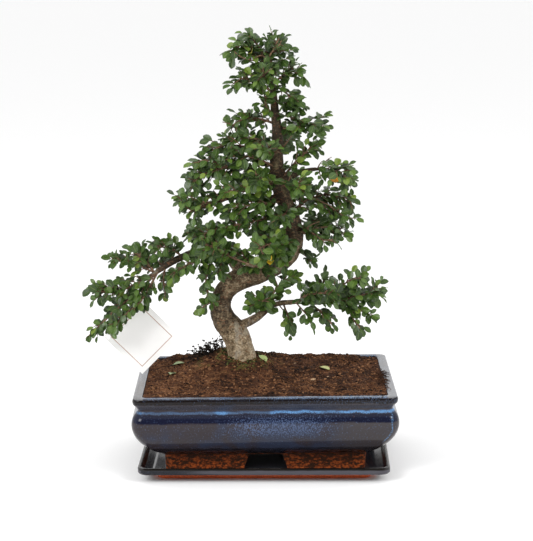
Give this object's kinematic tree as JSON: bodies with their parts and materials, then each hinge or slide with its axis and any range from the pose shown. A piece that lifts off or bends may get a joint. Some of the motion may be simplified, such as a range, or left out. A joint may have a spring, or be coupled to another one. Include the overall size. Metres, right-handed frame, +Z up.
{
  "type": "potted bonsai tree",
  "caption": "Small broadleaf tree with an S-curved trunk and spreading leafy branches, rooted in a low rectangular glazed pot on its drip tray, with a plain hang card.",
  "frame": {"origin": "middle of the drip tray's flat underside, on the surface that the tray stands on", "axes": "+Z up along the tree, +X along the pot's length to the right, -Y towards the side that the tree is shown from"},
  "size_m": [0.3531, 0.2032, 0.4922],
  "materials": {
    "blue_glaze": "gloss",
    "tray_glaze": "gloss",
    "peat_soil": "matte",
    "card_paper": "matte",
    "bark": "matte",
    "leaf_green": "satin"
  },
  "bodies": {
    "root": {"drip_tray": "tray_glaze", "fallen_leaf_left": "leaf_green", "fallen_leaf_left_back": "leaf_green", "fallen_leaf_right": "leaf_green", "fallen_leaf_trunk": "leaf_green", "hang_card": "card_paper", "pot": "blue_glaze", "soil": "peat_soil", "spray_back_high": "leaf_green", "spray_back_left": "leaf_green", "spray_back_low": "leaf_green", "spray_back_mid": "leaf_green", "spray_back_right": "leaf_green", "spray_bulge_right": "leaf_green", "spray_centre_front": "leaf_green", "spray_centre_left": "leaf_green", "spray_centre_low": "leaf_green", "spray_crown_back": "leaf_green", "spray_crown_front": "leaf_green", "spray_crown_high_left": "leaf_green", "spray_crown_left": "leaf_green", "spray_crown_right": "leaf_green", "spray_crown_top": "leaf_green", "spray_drooping_right": "leaf_green", "spray_front_high": "leaf_green", "spray_front_mid": "leaf_green", "spray_hanging_left": "leaf_green", "spray_left_back": "leaf_green", "spray_left_hang": "leaf_green", "spray_left_hang_front": "leaf_green", "spray_left_high": "leaf_green", "spray_left_low": "leaf_green", "spray_left_shoulder": "leaf_green", "spray_left_tip": "leaf_green", "spray_left_up": "leaf_green", "spray_low_centre": "leaf_green", "spray_low_mid_right": "leaf_green", "spray_low_right_back": "leaf_green", "spray_low_right_front": "leaf_green", "spray_low_right_hang": "leaf_green", "spray_low_right_tip": "leaf_green", "spray_low_tip_hang": "leaf_green", "spray_mid_right": "leaf_green", "spray_second_left": "leaf_green", "spray_second_left_high": "leaf_green", "spray_shoulder_right": "leaf_green", "spray_upper_left": "leaf_green", "spray_upper_left_high": "leaf_green", "spray_upper_left_low": "leaf_green", "spray_upper_right": "leaf_green", "trunk": "bark"}
  },
  "joints": []
}
